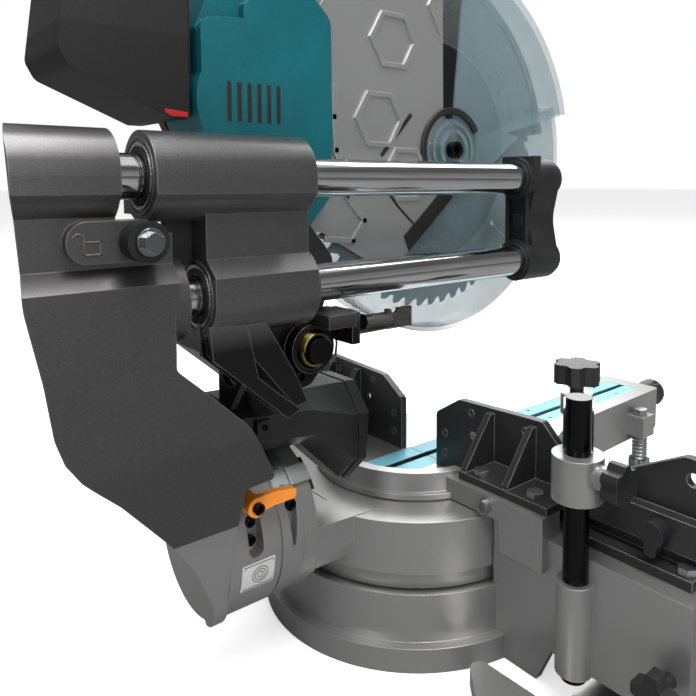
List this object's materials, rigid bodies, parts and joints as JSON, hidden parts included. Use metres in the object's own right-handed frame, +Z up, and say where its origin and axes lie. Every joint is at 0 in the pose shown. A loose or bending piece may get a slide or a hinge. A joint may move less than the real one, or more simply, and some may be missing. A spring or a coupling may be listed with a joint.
{
  "type": "sliding compound mitre saw",
  "caption": "Cordless sliding compound mitre saw on its own base, with a bevelling rear arm, slide pipes, chopping head, guard, fences and a vertical clamp.",
  "frame": {"origin": "on the mitre pivot axis at the underside of the base, centre of the four bench bolt holes", "axes": "+Z up, -Y towards the operator, +X to the operator's right; the blade lies in the plane X = 0"},
  "size_m": [0.66, 0.847, 0.698],
  "materials": {
    "black_plastic": "moulded black nylon",
    "blade_steel": "ground steel plate with brazed tips",
    "cast_grey": "dark grey speckled die-cast paint",
    "cast_silver": "silver-grey paint on die-cast aluminium",
    "chrome": "hard chrome",
    "clear": "clear tinted polycarbonate",
    "copper": "copper windings on laminated steel",
    "light_teal": "light teal wear inserts",
    "machined": "machined and satin",
    "orange": "moulded orange nylon",
    "rubber": "ribbed rubber",
    "scale": "printed scale on satin plate",
    "steel": "zinc plated or ground steel",
    "teal_plastic": "moulded teal nylon"
  },
  "bodies": {
    "base": {"base_casting": "cast_silver", "base_bolts": "steel", "mitre_scale_plate": "scale", "lower_fence": "cast_grey", "mitre_pivot_bolt": "steel"},
    "sliding_fence_left": {"sliding_fence_left": "cast_grey"},
    "sliding_fence_right": {"sliding_fence_right": "cast_grey"},
    "fence_lock_left": {"fence_lock_left": "black_plastic"},
    "fence_lock_right": {"fence_lock_right": "black_plastic"},
    "support_wing_left": {"support_wing_left": "cast_silver"},
    "support_wing_right": {"support_wing_right": "cast_silver"},
    "support_lock_left": {"support_lock_left": "black_plastic"},
    "support_lock_right": {"support_lock_right": "black_plastic"},
    "vise": {"vise_post": "steel", "vise_arm": "machined"},
    "vise_arm_knob": {"vise_arm_knob": "black_plastic"},
    "vise_screw": {"vise_screw": "steel"},
    "vise_pad": {"vise_pad": "steel"},
    "turntable": {"turntable_casting": "cast_silver", "kerf_boards": "light_teal", "kerf_screws": "steel", "levelling_spring": "steel", "bevel_pointer": "black_plastic", "bevel_shaft": "steel"},
    "mitre_grip": {"mitre_grip": "black_plastic"},
    "detent_lever": {"detent_lever": "black_plastic"},
    "levelling_screw": {"levelling_screw": "steel"},
    "bevel_release_lever": {"bevel_release_lever": "orange"},
    "arm": {"arm_casting": "cast_grey", "slide_pipes": "chrome", "pipe_end_cap": "black_plastic", "bevel_scale": "scale", "dust_duct": "black_plastic"},
    "slide_lock_bolt": {"slide_lock_bolt": "rubber"},
    "carriage": {"carriage_casting": "cast_grey", "slide_bushings": "machined", "chop_pivot_shaft": "steel", "torsion_spring": "steel", "carriage_bolts": "steel"},
    "depth_stop": {"depth_stop": "steel"},
    "head": {"head_casting": "cast_silver", "blade_case": "cast_silver", "case_window": "clear", "belt_cover": "teal_plastic", "motor_housing": "teal_plastic", "stator": "copper", "ball_bearings": "steel", "drive_belt": "rubber", "top_handle": "black_plastic"},
    "blade": {"saw_blade": "blade_steel", "blade_clamp": "steel", "spindle": "steel"},
    "gear_shaft": {"gear_shaft": "steel"},
    "rotor": {"rotor": "steel"},
    "lower_guard": {"lower_guard": "clear"},
    "trigger": {"switch_trigger": "black_plastic"},
    "lock_off_button": {"lock_off_button": "black_plastic"},
    "battery": {"battery": "black_plastic"},
    "battery_release": {"battery_release": "orange"},
    "shaft_lock": {"shaft_lock": "black_plastic"}
  },
  "joints": [
    {"name": "mitre", "type": "hinge", "parent": "base", "child": "turntable", "pos_m": [0, 0, 0.118], "axis": [0, 0, 1], "range_deg": [-50, 50]},
    {"name": "bevel", "type": "hinge", "parent": "turntable", "child": "arm", "pos_m": [0, 0.205, 0.118], "axis": [0, 1, 0], "range_deg": [-30, 48]},
    {"name": "slide", "type": "slide", "parent": "arm", "child": "carriage", "axis": [0, -1, 0], "range_m": [0, 0.228]},
    {"name": "chop", "type": "hinge", "parent": "carriage", "child": "head", "pos_m": [0, 0.17, 0.27], "axis": [1, 0, 0], "range_deg": [0, 41.7], "stiffness_Nm_per_rad": 14, "springref_deg": -103.13},
    {"name": "blade_spin", "type": "hinge", "parent": "head", "child": "blade", "pos_m": [0, -0.019, 0.423], "axis": [1, 0, 0], "continuous": true},
    {"name": "gear_shaft_spin", "type": "hinge", "parent": "head", "child": "gear_shaft", "pos_m": [0, 0.036, 0.452], "axis": [1, 0, 0], "continuous": true},
    {"name": "motor_spin", "type": "hinge", "parent": "head", "child": "rotor", "pos_m": [0, 0.198, 0.45], "axis": [1, 0, 0], "continuous": true},
    {"name": "guard", "type": "hinge", "parent": "head", "child": "lower_guard", "pos_m": [0, -0.019, 0.423], "axis": [1, 0, 0], "range_deg": [-180, 0]},
    {"name": "trigger", "type": "hinge", "parent": "head", "child": "trigger", "pos_m": [0, 0.022, 0.664], "axis": [1, 0, 0], "range_deg": [-8, 0], "stiffness_Nm_per_rad": 0.4, "springref_deg": 20.05},
    {"name": "lock_off", "type": "slide", "parent": "head", "child": "lock_off_button", "axis": [0, 0, -1], "range_m": [0, 0.004], "stiffness_N_per_m": 400, "springref_m": -0.003},
    {"name": "battery_slide", "type": "slide", "parent": "head", "child": "battery", "axis": [0, 0, 1], "range_m": [0, 0.11]},
    {"name": "battery_release", "type": "slide", "parent": "battery", "child": "battery_release", "axis": [0, 0, -1], "range_m": [0, 0.004], "stiffness_N_per_m": 500, "springref_m": -0.003},
    {"name": "shaft_lock", "type": "slide", "parent": "head", "child": "shaft_lock", "axis": [-1, 0, 0], "range_m": [0, 0.004], "stiffness_N_per_m": 500, "springref_m": -0.003},
    {"name": "depth_stop", "type": "hinge", "parent": "carriage", "child": "depth_stop", "pos_m": [-0.08, 0.145, 0.283], "axis": [0, 1, 0], "range_deg": [0, 90]},
    {"name": "slide_lock", "type": "slide", "parent": "arm", "child": "slide_lock_bolt", "axis": [-1, 0, 0], "range_m": [0, 0.008]},
    {"name": "mitre_lock", "type": "hinge", "parent": "turntable", "child": "mitre_grip", "pos_m": [0, -0.405, 0.092], "axis": [0, 1, 0], "range_deg": [-180, 180]},
    {"name": "detent", "type": "hinge", "parent": "turntable", "child": "detent_lever", "pos_m": [0.02, -0.4, 0.076], "axis": [1, 0, 0], "range_deg": [0, 9], "stiffness_Nm_per_rad": 2, "springref_deg": -11.46},
    {"name": "levelling", "type": "slide", "parent": "turntable", "child": "levelling_screw", "axis": [0, 0, 1], "range_m": [0, 0.01], "deforming": ["levelling_spring"]},
    {"name": "bevel_release", "type": "hinge", "parent": "arm", "child": "bevel_release_lever", "pos_m": [-0.06, 0.218, 0.163], "axis": [1, 0, 0], "range_deg": [-30, 0]},
    {"name": "fence_left", "type": "slide", "parent": "base", "child": "sliding_fence_left", "axis": [-1, 0, 0], "range_m": [0, 0.06]},
    {"name": "fence_right", "type": "slide", "parent": "base", "child": "sliding_fence_right", "axis": [1, 0, 0], "range_m": [0, 0.06]},
    {"name": "fence_lock_left", "type": "hinge", "parent": "sliding_fence_left", "child": "fence_lock_left", "pos_m": [-0.262, 0.01, 0.148], "axis": [0, 1, 0], "range_deg": [0, 90]},
    {"name": "fence_lock_right", "type": "hinge", "parent": "sliding_fence_right", "child": "fence_lock_right", "pos_m": [0.262, 0.01, 0.148], "axis": [0, 1, 0], "range_deg": [-90, 0]},
    {"name": "wing_left", "type": "slide", "parent": "base", "child": "support_wing_left", "axis": [-1, 0, 0], "range_m": [0, 0.06]},
    {"name": "wing_right", "type": "slide", "parent": "base", "child": "support_wing_right", "axis": [1, 0, 0], "range_m": [0, 0.06]},
    {"name": "wing_lock_left", "type": "hinge", "parent": "base", "child": "support_lock_left", "pos_m": [-0.286, 0.04, 0.062], "axis": [0, 1, 0], "range_deg": [-90, 90]},
    {"name": "wing_lock_right", "type": "hinge", "parent": "base", "child": "support_lock_right", "pos_m": [0.286, 0.04, 0.062], "axis": [0, 1, 0], "range_deg": [-90, 90]},
    {"name": "vise_height", "type": "slide", "parent": "base", "child": "vise", "axis": [0, 0, 1], "range_m": [0, 0.05]},
    {"name": "vise_clamp", "type": "hinge", "parent": "vise", "child": "vise_arm_knob", "pos_m": [-0.213, 0.033, 0.184], "axis": [1, 0, 0], "range_deg": [-180, 180]},
    {"name": "vise_feed", "type": "slide", "parent": "vise", "child": "vise_pad", "axis": [0, 0, -1], "range_m": [-0.018, 0.008]},
    {"name": "vise_turn", "type": "hinge", "parent": "vise_pad", "child": "vise_screw", "pos_m": [-0.146, -0.062, 0.22], "axis": [0, 0, 1], "range_deg": [-800, 1900]}
  ],
  "couplings": [
    {"joint": "gear_shaft_spin", "follows": "blade_spin", "ratio": -3.6667},
    {"joint": "motor_spin", "follows": "blade_spin", "ratio": -6.8095},
    {"joint": "guard", "follows": "chop", "ratio": -4.27},
    {"joint": "vise_turn", "follows": "vise_feed", "rad_per_m": -1570.8}
  ]
}
